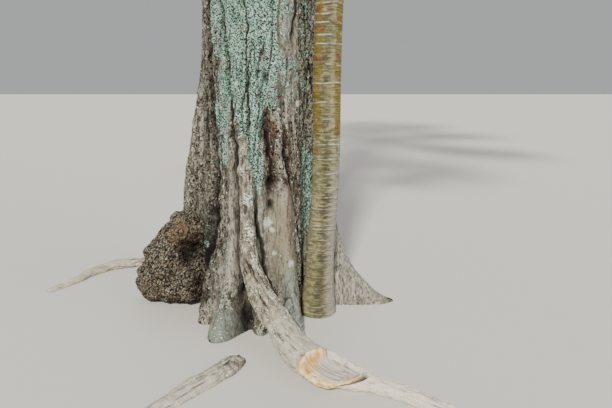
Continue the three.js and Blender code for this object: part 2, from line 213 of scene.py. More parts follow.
# Adds a node with its own fields, and its inputs by name or number: each is a value, or a link from a socket.
def addNode(tree, kind, inputs, **fields):
    node = tree.nodes.new(kind)
    for key, value in fields.items():
        setattr(node, key, value)
    for key, value in inputs.items():
        if isinstance(value, bpy.types.NodeSocket):
            tree.links.new(value, node.inputs[key])
        else:
            node.inputs[key].default_value = value
    return node


# Makes a finish from its recipe. Its sources are values that its pieces carry, mottles of noise, cells and
# sums. A mottle has its size in metres, its octaves, its stretch along Z and its sharpness. Cells have
# their size in metres, how far they are bent, and the mottle that bends them. A sum is one source times a
# number, plus another. A coat starts from a colour and lays others over it, each in a row: the source that
# it follows, the values at which it starts and is full, how much it then hides, and its colour or coat.
# The last coat is what shows. The bump has a source, a strength and a depth in metres.
def makeMaterial(name, recipe):
    material = bpy.data.materials.new(name)
    material.use_nodes = True
    tree = material.node_tree
    tree.nodes.clear()
    place = addNode(tree, "ShaderNodeTexCoord", {}).outputs["Object"]
    source = {}
    for key in recipe.get("carried", ()):
        source[key] = addNode(tree, "ShaderNodeAttribute", {}, attribute_name=key).outputs["Fac"]
    for key, (size, octaves, stretch, sharpness) in recipe.get("mottles", {}).items():
        squeezed = addNode(tree, "ShaderNodeMapping", {"Vector": place, "Scale": (1, 1, 1 / stretch)})
        source[key] = addNode(tree, "ShaderNodeTexNoise", {
            "Vector": squeezed.outputs[0], "Scale": 1 / size, "Detail": octaves, "Roughness": sharpness,
        }).outputs["Fac"]
    for key, (size, bend, mottle) in recipe.get("cells", {}).items():
        bent = addNode(tree, "ShaderNodeVectorMath", {0: source[mottle], 1: (bend, bend, bend), 2: place},
                       operation="MULTIPLY_ADD")
        source[key] = addNode(tree, "ShaderNodeTexVoronoi", {
            "Vector": bent.outputs[0], "Scale": 1 / size, "Randomness": 0.9,
        }).outputs["Distance"]
    for key, (first, times, second) in recipe.get("sums", {}).items():
        source[key] = addNode(tree, "ShaderNodeMath", {0: source[first], 1: times, 2: source[second]},
                              operation="MULTIPLY_ADD").outputs[0]
    colours = {key: tone(code) for key, code in recipe["colours"].items()}
    for key, (start, *rows) in recipe.get("coats", {}).items():
        colour = colours[start]
        for by, low, high, most, over in rows:
            share = addNode(tree, "ShaderNodeMapRange",
                            {0: source[by], 1: low, 2: high, 4: source.get(most, most)}).outputs[0]
            colour = addNode(tree, "ShaderNodeMix", {0: share, 6: colour, 7: colours[over]},
                             data_type="RGBA").outputs[2]
        colours[key] = colour
    inputs = {"Base Color": list(colours.values())[-1], "Roughness": recipe["roughness"],
              "Specular IOR Level": recipe["specular"]}
    if "bump" in recipe:
        by, strength, depth = recipe["bump"]
        inputs["Normal"] = addNode(tree, "ShaderNodeBump", {
            "Height": source[by], "Strength": strength, "Distance": depth,
        }).outputs[0]
    shader = addNode(tree, "ShaderNodeBsdfPrincipled", inputs)
    addNode(tree, "ShaderNodeOutputMaterial", {"Surface": shader.outputs[0]})
    return material


# Old conifer bark, weathered and grown over by leafy lichen: dull grey-brown plates with dark pits and
# cracks, and crusts of pale blue-green, pitted every 10 to 15 mm. The darkness of the pits and cracks is
# painted shade, and so is the near black on the flank beside the burl. Its places come from the piece's own
# values.
oldBark = makeMaterial("weathered_bark_with_lichen", {
    "roughness": 0.9, "specular": 0.25,
    "carried": ("lichen", "hollowShade", "rust", "smooth", "olive", "slate", "disc", "paintedShade"),
    "mottles": {"broad": (0.09, 4, 2.5, 0.55), "plate": (0.034, 3, 1.8, 0.55), "grain": (0.012, 2, 1.5, 0.6),
                "fibre": (0.012, 2, 7, 0.6), "crumb": (0.0096, 2, 1, 0.6), "dots": (0.014, 1, 1, 0.5),
                "patch": (0.03, 4, 1.3, 0.7)},
    "sums": {"fewerDots": ("smooth", -0.08, "dots"), "spread": ("patch", 2.4, "lichen"),
             "height": ("crumb", 0.7, "grain")},
    "colours": {
        "dark": "#100c08", "middle": "#5a5547", "light": "#a4a08f", "crackShade": "#060403", "brown": "#6c6050",
        "smoothDark": "#857e6f", "smoothLight": "#bab5a6", "olive": "#8f886f", "slate": "#858d81",
        "rust": "#5e2c1f", "paintedShade": "#1d1812", "dot": "#ecece2", "crustDark": "#647f72",
        "crustLight": "#abcaba", "crustPale": "#d6dfd0", "crustGreen": "#93b496", "pitShade": "#111d17",
    },
    "coats": {
        "smoothBark": ("smoothDark", ("fibre", 0.4, 0.6, 1, "smoothLight"), ("olive", 0, 1, 1, "olive"),
                       ("fibre", 0.46, 0.36, 0.5, "dark")),
        "leaflets": ("crustLight", ("plate", 0.5, 0.66, 0.7, "crustPale"),
                     ("broad", 0.48, 0.62, 0.6, "crustGreen")),
        # painted shade: the crust's pits go near black where the crumb, and so the bump, is low
        "crust": ("crustDark", ("crumb", 0.48, 0.6, 1, "leaflets"), ("crumb", 0.475, 0.41, 1, "pitShade")),
        # painted shade: the bark goes dark where its grain is low, in its pits, and near black in the hollows
        # and on the flank beside the burl
        "bark": ("middle", ("plate", 0.4, 0.6, 1, "light"), ("broad", 0.45, 0.7, 0.5, "brown"),
                 ("grain", 0.49, 0.4, 1, "dark"), ("smooth", 0, 1, 1, "smoothBark"),
                 ("slate", 0, 1, 1, "slate"), ("rust", 0, 1, 1, "rust"), ("fewerDots", 0.67, 0.71, 1, "dot"),
                 ("paintedShade", 0, 1, 1, "paintedShade"), ("spread", 1.64, 1.74, 1, "crust"), ("disc", 0, 1, 1, "dot"),
                 ("hollowShade", 0, 1, 1, "crackShade")),
    },
    "bump": ("height", 1, 0.008),
})

# Root bark worn thin by feet and weather: grey-brown in streaks along the root about 11 mm apart, with
# specks of pale lichen, and worn to pale tan where people tread on it. Painted shade darkens the grooves
# between its fibres and its hollows.
rootBark = makeMaterial("worn_root_bark", {
    "roughness": 0.85, "specular": 0.3, "carried": ("fibre", "pale", "hollowShade", "lichen"),
    "mottles": {"plate": (0.04, 3, 1, 0.55), "grain": (0.011, 2, 1, 0.6), "speck": (0.014, 2, 1, 0.6)},
    "sums": {"spread": ("speck", 2.2, "lichen"), "height": ("grain", 1, "fibre")},
    "colours": {"dark": "#17120c", "middle": "#756d5c", "light": "#aaa28e", "pale": "#eee3cd",
                "lichen": "#cfdacb", "crackShade": "#2a221a"},
    "coats": {"bark": (
        # painted shade: dark in the grooves between the fibres and in the hollows
        "middle", ("plate", 0.42, 0.6, 1, "light"), ("fibre", 0.47, 0.25, 0.7, "dark"),
        ("grain", 0.46, 0.36, 0.8, "dark"), ("pale", 0, 1, 1, "pale"), ("fibre", 0.4, 0.2, 0.4, "crackShade"),
        ("spread", 1.54, 1.64, 1, "lichen"), ("hollowShade", 0, 1, 1, "crackShade"),
    )},
    "bump": ("height", 0.9, 0.006),
})

# Torn and weathered root wood: cream to orange fresh fibres at the rim, silver-grey old wood inside, with
# grain lines 4 to 16 mm apart that run along the root, and a painted shadow in the gap along the wound's
# outline.
tornWood = makeMaterial("torn_root_wood", {
    "roughness": 0.72, "specular": 0.35, "carried": ("rim", "fibre", "hollowShade", "orange"),
    "mottles": {"patch": (0.03, 3, 1, 0.55)},
    "colours": {"rim": "#fff3cd", "gold": "#e8b548", "orange": "#b57a14", "grey": "#9a9388",
                "pale": "#cbc3b7", "gapShadow": "#3a2c1c"},
    "coats": {
        "fresh": ("rim", ("patch", 0.46, 0.62, 0.85, "gold"), ("fibre", 0.42, 0.25, 0.8, "orange")),
        "wood": ("grey", ("fibre", 0.3, 0.65, 1, "pale"), ("rim", 0, 1, 1, "fresh"),
                 # painted shadow: the gap along the wound's outline goes dark
                 ("orange", 0, 1, 1, "orange"), ("hollowShade", 0, 1, 1, "gapShadow")),
    },
    "bump": ("fibre", 0.8, 0.003),
})

# Burr wood bark: corky warts about 14 mm across, dark brown between them and pale or ochre on top, the
# dark partly painted shade and the pale tops partly painted highlight. Painted shade darkens the hole and
# the low places.
burlBark = makeMaterial("warty_burr_bark", {
    "roughness": 0.92, "specular": 0.2, "carried": ("wart", "hollowShade", "ochre"),
    "mottles": {"swirl": (0.028, 2, 1, 0.55), "grain": (0.007, 2, 1, 0.6), "patch": (0.056, 3, 1, 0.55)},
    "cells": {"cork": (0.014, 0.03, "swirl")},
    "sums": {"height": ("cork", -1, "grain")},
    "colours": {"dark": "#1c150f", "middle": "#70695a", "light": "#b3ac9a", "ochre": "#96704d",
                "hole": "#0e0b08"},
    "coats": {
        "top": ("ochre", ("patch", 0.36, 0.5, 1, "light")),
        # painted shade between the warts and painted highlight on their tops, in part, by the cork's distance
        "bark": ("dark", ("cork", 0.75, 0.35, 1, "middle"), ("cork", 0.5, 0.15, 0.9, "top"),
                 ("wart", 0.3, 0.05, 0.6, "dark"), ("grain", 0.46, 0.36, 0.7, "dark"),
                 # painted shade: the hole, the low lumps and the troughs of the knob's coils go near black
                 ("ochre", 0, 1, 1, "ochre"), ("hollowShade", 0, 1, 1, "hole")),
    },
    "bump": ("height", 1, 0.01),
})

# Young conifer bark: smooth, thin and slightly glossy, olive under a film of algae, with pale level rings and
# fine level wrinkles about 7 mm apart. Painted light makes its sides pale and pinkish, the right side most,
# and painted shade darkens the groove under each ring.
youngBark = makeMaterial("smooth_ringed_bark", {
    "roughness": 0.72, "specular": 0.4, "carried": ("ring", "algae", "streak", "pinkSideLight", "rough"),
    "mottles": {"flat": (0.045, 3, 0.5, 0.55), "lines": (0.07, 2, 0.1, 0.6), "grain": (0.008, 2, 0.7, 0.6),
                "patch": (0.03, 3, 0.9, 0.7), "block": (0.12, 1, 0.8, 0.55)},
    "sums": {"algaeSpread": ("patch", 1.2, "algae"), "streakSpread": ("patch", 1.2, "streak"),
             "height": ("grain", 1, "lines")},
    "colours": {"olive": "#69663f", "ochre": "#9a9263", "pinkSideLight": "#a0988a", "dark": "#1c190e",
                "algae": "#72651a", "orange": "#74481e", "shade": "#25251a", "line": "#bcb48c",
                "ring": "#ded9c6"},
    "coats": {
        "film": ("algae", ("block", 0.52, 0.62, 1, "orange")),
        # painted light: the stem's sides go pale and pinkish, the right side most
        "bark": ("olive", ("flat", 0.42, 0.6, 1, "ochre"), ("pinkSideLight", 0, 1, 1, "pinkSideLight"),
                 # painted shade: the dark line in the groove under each ring comes with the stain streak
                 ("algaeSpread", 0.95, 1.2, 0.9, "film"), ("streakSpread", 0.8, 1.4, 0.7, "shade"),
                 ("grain", 0.44, 0.32, 0.75, "dark"), ("lines", 0.56, 0.62, "rough", "line"),
                 ("lines", 0.45, 0.38, 0.45, "dark"), ("ring", 0, 1, 1, "ring")),
    },
    "bump": ("height", 0.7, 0.003),
})

# Bark of the limbs: grey-brown, in level wrinkles where old leaves were shed, with painted shade in their
# grooves.
limbBark = makeMaterial("wrinkled_limb_bark", {
    "roughness": 0.9, "specular": 0.25, "carried": ("hollowShade",),
    "mottles": {"plate": (0.06, 3, 1, 0.55), "grain": (0.02, 3, 1, 0.7)},
    "colours": {"dark": "#37312a", "middle": "#6f675c", "light": "#98917f"},
    "coats": {"bark": ("middle", ("plate", 0.4, 0.62, 1, "light"), ("grain", 0.5, 0.35, 1, "dark"),
                       ("hollowShade", 0, 1, 1, "dark"))},
    "bump": ("grain", 0.8, 0.006),
})

# Green twigs under the leaves: a dull green-brown skin with a coarse grain.
twigBark = makeMaterial("green_twig_bark", {
    "roughness": 0.8, "specular": 0.3, "mottles": {"grain": (0.03, 2, 1, 0.55)},
    "colours": {"green": "#2f3a20", "brown": "#5a5232"},
    "coats": {"skin": ("green", ("grain", 0.4, 0.6, 1, "brown"))},
})

# Leaves of the monkey puzzle: stiff, leathery and half glossy, in four plain greens dealt out by spray.
leafTones = {"leaf_deep": "#1f3a20", "leaf_middle": "#2b4a26", "leaf_grey_green": "#38563a",
             "leaf_fresh": "#4a6a2c"}
leaves = [makeMaterial(name, {"roughness": 0.42, "specular": 0.5, "colours": {"green": code}})
          for name, code in leafTones.items()]
print("materials made")


# The old trunk

oldTrunk = {
    "top": 17.8, "lean": 0.013, "column": 0.44, "vanish": 18.33, "taper": 0.75, "swell": 0.037,
    "swellHeight": 0.9, "ridgeHeight": 3.6, "turnHeight": 0.9, "widthHeight": 0.35,
    "softness": 16, "fluteLength": 0.53, "fluteRoot": 0.9,
}
# Flutes: foot angle and shaft angle in degrees, reach of the foot, height of its flare, height of the ridge,
# half widths of foot and shaft, and the power by which the flare falls.
flutes = (
    (-130, -152, 0.59, 0.42, 0.062, 0.13, 0.15, 0.8),
    (-110, -114, 0.745, 0.34, 0.066, 0.15, 0.075, 0.8),
    (-88, -95, 0.6, 0.5, 0.074, 0.1, 0.095, 0.8),
    (-68, -70, 0.745, 0.3, 0.072, 0.08, 0.12, 0.8),
    (-7, -9, 0.93, 0.3, 0.062, 0.14, 0.13, 0.8),
    (38, 34, 0.86, 0.28, 0.066, 0.125, 0.115, 0.8),
    (84, 79, 0.86, 0.34, 0.054, 0.15, 0.13, 0.8),
    (128, 124, 0.96, 0.3, 0.066, 0.13, 0.115, 0.8),
    (174, 178, 0.67, 1.64, 0.01, 0.15, 0.12, 3),
)
cleft = {"angle": -37, "width": 15, "depth": 0.2, "height": 1.9}
# Furrows in the bark, from the top down: heights, angles in degrees, width and depth.
furrows = (
    ((2.6, 1.94, 1.7, 1.2, 0.69, 0.2), (-140, -125, -118.5, -111.6, -106.4, -102.5), 0.016, 0.05),
    ((2.4, 1.63, 1.11, 0.73, 0.56, 0.42, 0.25), (-150, -144, -135, -134.5, -134.5, -139, -143), 0.034, 0.055),
    ((1.36, 1.2, 1.09, 0.98, 0.9), (-86, -82.1, -80.6, -80.7, -81), 0.03, 0.04),
    ((0.9, 0.81, 0.73, 0.51, 0.38, 0.2), (-93, -93.6, -92.6, -87.9, -85.2, -81), 0.014, 0.03),
    ((1.3, 1.04, 0.88, 0.67, 0.51, 0.3, 0.1), (-70, -66, -61, -54, -47, -41, -37), 0.012, 0.04),
    ((2.5, 2.06, 1.88), (-50, -56.2, -60), 0.016, 0.015),
    ((2.9, 1.9, 1.4), (-104, -100, -99), 0.008, 0.012),
    ((3.4, 2.2, 1.2, 0.5), (60, 58, 62, 60), 0.02, 0.03),
    ((3.0, 1.8, 0.9, 0.3), (106, 101, 104, 106), 0.02, 0.035),
    ((2.8, 1.5, 0.6), (152, 149, 150), 0.02, 0.03),
    ((3.2, 1.6, 0.4), (14, 12, 15), 0.02, 0.03),
)
# Holes left by lost twigs: angle in degrees, height, half width, half height and depth.
knots = ((-80.5, 0.975, 0.05, 0.05, 0.06), (-81.5, 0.83, 0.024, 0.05, 0.03), (-70, 3.2, 0.05, 0.04, 0.05),
         (30, 2.2, 0.05, 0.05, 0.05), (140, 1.7, 0.04, 0.05, 0.05))


# The trunk's radius at an angle and a height, as in the part's source: a tapering column with a swelling
# foot, and flutes round it. A flute is an ellipse seen from the axis, whose far end reaches out as the power
# of a falling exponential; the largest of all radii is taken softly, as the root of a sum of high powers.
def trunkRadius(angle, height):
    t = oldTrunk
    column = t["column"] * (1 - height / t["vanish"]) ** t["taper"]
    column = column + t["swell"] * np.exp(-height / t["swellHeight"])
    atGround = t["column"] + t["swell"]
    total = column ** t["softness"] + 0 * angle
    for footAngle, shaftAngle, reach, flare, ridge, footWidth, shaftWidth, power in flutes:
        middle = np.radians(mix(shaftAngle, footAngle, np.exp(-height / t["turnHeight"])))
        foot = (reach - t["fluteRoot"] * atGround) * np.exp(-((height / flare) ** power))
        far = t["fluteRoot"] * column + foot + ridge * np.exp(-height / t["ridgeHeight"])
        width = mix(shaftWidth, footWidth, np.exp(-height / t["widthHeight"]))
        length = t["fluteLength"] * far
        offset = far - length
        off = turnBetween(angle, middle)
        squares = (np.cos(off) / length) ** 2 + (np.sin(off) / width) ** 2
        along = offset * np.cos(off) / length ** 2
        inside = along ** 2 - squares * ((offset / length) ** 2 - 1)
        radius = (along + np.sqrt(np.maximum(inside, 0))) / squares
        seen = (inside > 0) & (np.cos(off) > 0)
        total = total + np.where(seen, radius, 0) ** t["softness"]
    away = np.degrees(turnBetween(angle, np.radians(cleft["angle"])))
    notch = 1 - cleft["depth"] * bell(away, 0, cleft["width"]) * np.exp(-((height / cleft["height"]) ** 3))
    return total ** (1 / t["softness"]) * notch


# How deep the furrows and knots cut at an angle and a height, and how much painted shade darkens them. A
# furrow is a bell across its line, whose angle is read off its own list by height. A knot is a flat-topped
# bell of an oval's radius.
def furrowCut(angle, height, radius):
    marks = []
    for heights, angles, width, depth in furrows:
        line = np.radians(np.interp(height, heights[::-1], angles[::-1]))
        ends = softStep(height, heights[-1] - 0.12, heights[-1] + 0.05)
        ends = ends * (1 - softStep(height, heights[0] - 0.1, heights[0] + 0.3))
        wave = 0.006 * np.sin(23 * height + 5 * line) + 0.004 * np.sin(61 * height)
        marks.append((depth, bell(turnBetween(angle, line) * radius + wave, 0, width) * ends))
    for knotAngle, knotHeight, halfWidth, halfHeight, depth in knots:
        across = turnBetween(angle, np.radians(knotAngle)) * radius / halfWidth
        marks.append((depth, np.exp(-((across ** 2 + ((height - knotHeight) / halfHeight) ** 2) ** 1.5))))
    return np.max([depth * share for depth, share in marks], 0), np.max([share for depth, share in marks], 0)


# Angles at which the columns of a trunk piece stand: evenly by the length round the ring, and closer
# together towards the camera, by a weight that the cosine gives. The seam is at the back.
def ringAngles(heights, around, crowding):
    turn = towardsCamera - np.pi + np.linspace(0, 2 * np.pi, 3001)
    radii = trunkRadius(turn[None, :], heights[:, None])
    x, y = radii * np.cos(turn), radii * np.sin(turn)
    weight = 1 + crowding * (0.5 + 0.5 * np.cos(turn[1:] - towardsCamera))
    steps = np.hypot(np.diff(x, axis=1), np.diff(y, axis=1)) * weight
    shares = np.concatenate([np.zeros((len(heights), 1)), np.cumsum(steps, axis=1)], axis=1)
    wanted = np.arange(around) / around
    return np.stack([np.interp(wanted * row[-1], row, turn) for row in shares])


# Places of the lichen, the smooth bark, the olive bulge, the rusty strips, the slate feet and the painted
# shade on the left flank and low at the front of the foot: soft windows in angle (degrees) and height, as
# [middle angle, half width, low, high, strength].
lichenPlaces = (
    (-104, 45, 1.7, 4.2, 0.98), (-98, 43, 1.4, 1.85, 0.96), (-130, 14, 1.05, 1.6, 0.8),
    (-42, 12, 1.4, 2.4, 0.36), (-97, 12, 0.93, 1.5, 0.95), (-36, 11, 0.5, 1.2, 0.8),
    (-139, 9, 0.35, 0.85, 0.36), (-18, 9, 0.2, 0.8, 0.45), (-115, 6, 0.1, 0.6, 0.42),
    (-100, 4, 0.45, 1.0, 0.3), (-84.5, 4, 0.66, 0.74, 0.75), (150, 30, 0.6, 3.5, 0.5),
    (70, 26, 0.9, 3.8, 0.45), (8, 24, 0.6, 2.6, 0.4),
)
smoothPlaces = (
    (-73, 13, 0.28, 0.92, 0.85), (-108, 6, 0.3, 1.2, 0.75), (-93, 6, 0.2, 0.9, 0.6),
    (-66, 12, 1.45, 2.6, 0.4), (-12, 22, 0.0, 0.7, 0.75), (-100, 5, 0.0, 0.3, 0.4),
    (-122, 7, 0.0, 0.45, 0.45),
)
olivePlaces = ((-73, 12, 0.3, 0.9, 0.9), (-62, 4, 0.3, 1.2, 0.6))
rustPlaces = ((-66, 3.2, 0.45, 1.3, 0.6), (-80.5, 5, 0.95, 1.4, 0.7), (-101, 2.6, 0.1, 0.5, 0.7))
slatePlaces = ((-108, 13, -0.2, 0.15, 0.7), (-69, 5, -0.2, 0.4, 0.75))
# painted shade: near black on the left flank beside the burl, on the far left side, and low at the front of
# the foot
paintedShadePlaces = (
    (-147, 16, 0.1, 0.82, 0.97), (-150, 14, 0.8, 3.4, 0.42), (-165, 12, 0.1, 1.0, 0.5),
    (-99, 7, -0.1, 0.32, 0.85),
)
# Round crusts of pale lichen: angle in degrees, height and radius.
discs = ((-53, 1.48, 0.026), (-67, 0.44, 0.026), (-78, 0.5, 0.016), (-84, 0.71, 0.034), (-57, 1.3, 0.014),
         (-80, 0.66, 0.018), (-62, 0.62, 0.014))


# The largest of soft windows at an angle and a height: each is a flat-topped bell in angle times soft steps.
def placesAt(places, angle, height, edge=0.12):
    total = np.zeros(angle.shape)
    for middle, halfWidth, low, high, strength in places:
        off = np.degrees(turnBetween(angle, np.radians(middle))) / halfWidth
        window = softStep(height, low - edge, low + edge) * (1 - softStep(height, high - edge, high + edge))
        total = np.maximum(total, strength * np.exp(-(off ** 4)) * window)
    return total


# How much round crust covers the bark: for each disc, a step at its radius, roughened by noise.
def discsAt(angle, height, radius, edge):
    total = np.zeros(angle.shape)
    for middle, discHeight, size in discs:
        away = np.hypot(turnBetween(angle, np.radians(middle)) * radius, height - discHeight) / size
        total = np.maximum(total, 0.6 * softStep(away + 0.6 * edge, 1.2, 0.5))
    return total


# Cracks that run up and down the bark: thin lines where one noise, drawn out along the trunk, crosses nought,
# broken where a second noise is low, and the same again for finer cracks.
def cracksAt(grid):
    lines = bell(noise(grid * (1, 1, 0.15), 0.05, 13), 0, 0.1)
    finer = bell(noise(grid * (1, 1, 0.22), 0.024, 15), 0, 0.12)
    return np.maximum(lines * softStep(noise(grid * (1, 1, 0.3), 0.12, 17), -0.2, 0.15),
                      0.6 * finer * softStep(noise(grid * (1, 1, 0.4), 0.07, 19), 0.0, 0.3))


# How far each kind of relief stands out of the bark or cuts into it, in metres, and the heights between which
# level wrinkles come up on the column.
barkRelief = {"lumps": 0.011, "ridges": 0.008, "grain": 0.0045, "cracks": 0.009, "crust": 0.003,
              "wrinkles": 0.006, "wrinklesFrom": 2.4, "wrinklesFull": 4.5}


# One stretch of the trunk between two heights: the radius gives the grid, the relief of lumps, ridges, grain
# and cracks pushes it out along its normals, and the values for the bark's finish come from the same terms.
def trunkStretch(name, low, high, rings, around, crowding, power):
    rings, around = int(rings * fine), int(around * fine)
    step = (high - low) / rings
    heights = low + (high - low) * np.linspace(0, 1, rings) ** power
    heights = np.r_[max(low - step, 0), heights, high + step]  # one ring more at each end, for true normals
    angle = ringAngles(heights, around, crowding)
    height = np.broadcast_to(heights[:, None], angle.shape)
    radius = trunkRadius(angle, height)
    cut, dark = furrowCut(angle, height, radius)
    radius = radius - cut
    grid = np.stack([oldTrunk["lean"] * height + radius * np.cos(angle), radius * np.sin(angle), height], -1)
    smooth = placesAt(smoothPlaces, angle, height)
    coarse = 1 - 0.75 * smooth
    lumps = noise(grid * (1, 1, 0.34), 0.13, 3)
    ridges = noise(grid * (1, 1, 0.22), 0.034, 11)
    grain = rough(grid * (1, 1, 0.6), 0.021, 5, 2)
    patch = rough(grid * (1, 1, 0.5), 0.11, 31, 3)
    wrinkles = softStep(height, barkRelief["wrinklesFrom"], barkRelief["wrinklesFull"])
    wrinkles = wrinkles * rough(grid * (0.4, 0.4, 2.2), 0.12, 21, 2)
    cracks = cracksAt(grid)
    lichen = placesAt(lichenPlaces, angle, height, 0.25) + 0.3 * patch + 0.04
    lichen = np.clip(lichen - 0.7 * dark - 0.3 * smooth - 0.35 * cracks, 0, 1)
    relief = barkRelief["ridges"] * ridges + barkRelief["grain"] * grain - barkRelief["cracks"] * cracks
    relief = barkRelief["lumps"] * lumps + coarse * relief
    relief = relief + barkRelief["wrinkles"] * wrinkles
    relief = relief + barkRelief["crust"] * softStep(lichen, 0.4, 0.6)
    # painted shade: the furrows, the knot holes, the cracks and the troughs between the ridges are darkened
    sunken = coarse * np.maximum(0.6 * softStep(-ridges - 0.3 * lumps, 0.3, 0.8), 0.8 * cracks)
    values = {
        "lichen": lichen, "hollowShade": np.maximum(0.95 * dark ** 1.5, sunken), "smooth": smooth,
        "rust": placesAt(rustPlaces, angle, height) * (0.6 + 0.4 * grain),
        "olive": placesAt(olivePlaces, angle, height), "slate": placesAt(slatePlaces, angle, height, 0.06),
        "paintedShade": placesAt(paintedShadePlaces, angle, height) * (0.8 + 0.5 * patch),
        "disc": discsAt(angle, height, radius, grain),
    }
    grid = (grid + gridNormals(grid) * relief[..., None])[1:-1]
    if low == 0:
        grid[0, :, 2] = 0
    grid[..., 2] = np.clip(grid[..., 2], 0, oldTrunk["top"])
    values = {key: value[1:-1] for key, value in values.items()}
    addSkin(name, grid, [oldBark], "bark", ["trunk"], values)


# The trunk's stretches from the ground up: the height at which each ends, its rings, the points in a ring,
# how much closer they stand towards the camera, and the power by which its rings crowd towards its foot.
stretches = {
    "trunk_root_flare": (0.36, 118, 640, 1.2, 1.35), "trunk_foot": (1.0, 112, 640, 1.6, 1),
    "trunk_shaft_low": (1.75, 124, 560, 1.6, 1), "trunk_shaft_high": (2.6, 130, 520, 1.6, 1),
    "trunk_column": (8.7, 240, 190, 0, 1), "trunk_crown_column": (oldTrunk["top"], 260, 90, 0, 1),
}
low = 0
for name, (high, *settings) in stretches.items():
    trunkStretch(name, low, high, *settings)
    low = high
print("trunk made,", sum(triangles), "triangles so far")


# Surface roots

# Each root: rows of [x, y, z of the middle, half width, half thickness], as in the part's source.
frontRoot = (
    (-0.072, -0.375, 1.3, 0.042, 0.046), (-0.074, -0.45, 0.95, 0.044, 0.058),
    (-0.065, -0.53, 0.66, 0.048, 0.068), (-0.034, -0.62, 0.44, 0.06, 0.078),
    (0.045, -0.705, 0.28, 0.078, 0.082), (0.14, -0.79, 0.165, 0.088, 0.076),
    (0.222, -0.92, 0.095, 0.098, 0.068), (0.335, -1.045, 0.06, 0.124, 0.064),
    (0.465, -1.145, 0.046, 0.124, 0.058), (0.615, -1.205, 0.034, 0.08, 0.044),
    (0.79, -1.29, 0.022, 0.054, 0.036), (0.96, -1.395, 0.012, 0.048, 0.03),
    (1.13, -1.49, -0.004, 0.04, 0.024),
)
otherRoots = {
    "root_front_left": (
        (-0.12, -0.64, -0.07, 0.06, 0.05), (-0.088, -0.85, -0.07, 0.05, 0.038),
        (-0.104, -1.0, 0.004, 0.064, 0.04), (-0.24, -1.18, 0.008, 0.07, 0.038),
        (-0.384, -1.35, 0, 0.056, 0.034), (-0.5, -1.48, -0.012, 0.04, 0.024),
    ),
    "root_left": (
        (-0.43, 0.27, 0.2, 0.11, 0.11), (-0.8, 0.52, 0.07, 0.08, 0.07), (-1.19, 0.65, 0.026, 0.058, 0.046),
        (-1.4, 0.57, 0.03, 0.054, 0.044), (-1.54, 0.44, 0.018, 0.048, 0.04),
        (-1.62, 0.25, 0.004, 0.044, 0.032), (-1.74, 0.03, -0.008, 0.036, 0.024),
    ),
    "root_back": (
        (0.06, 0.56, 0.18, 0.11, 0.1), (0.11, 0.88, 0.05, 0.082, 0.064), (0.06, 1.16, 0.016, 0.062, 0.044),
        (0.21, 1.4, 0.002, 0.05, 0.034), (0.3, 1.64, -0.01, 0.036, 0.024),
    ),
    "root_back_left": (
        (-0.47, 0.6, 0.16, 0.11, 0.1), (-0.64, 0.94, 0.05, 0.08, 0.064), (-0.76, 1.26, 0.016, 0.06, 0.042),
        (-1.01, 1.52, -0.006, 0.042, 0.028),
    ),
}
# The torn wound on the front root: shares of the root's length, middle angle round it (90 is up, 180 towards
# the camera's left), half angle, depth of the scoop and height of its lip.
wound = {"from": 0.645, "to": 0.775, "angle": 106, "halfAngle": 74, "depth": 0.055, "lip": 0.036}
rootRelief = {"lumps": 0.01, "fibre": 0.008, "grain": 0.004}
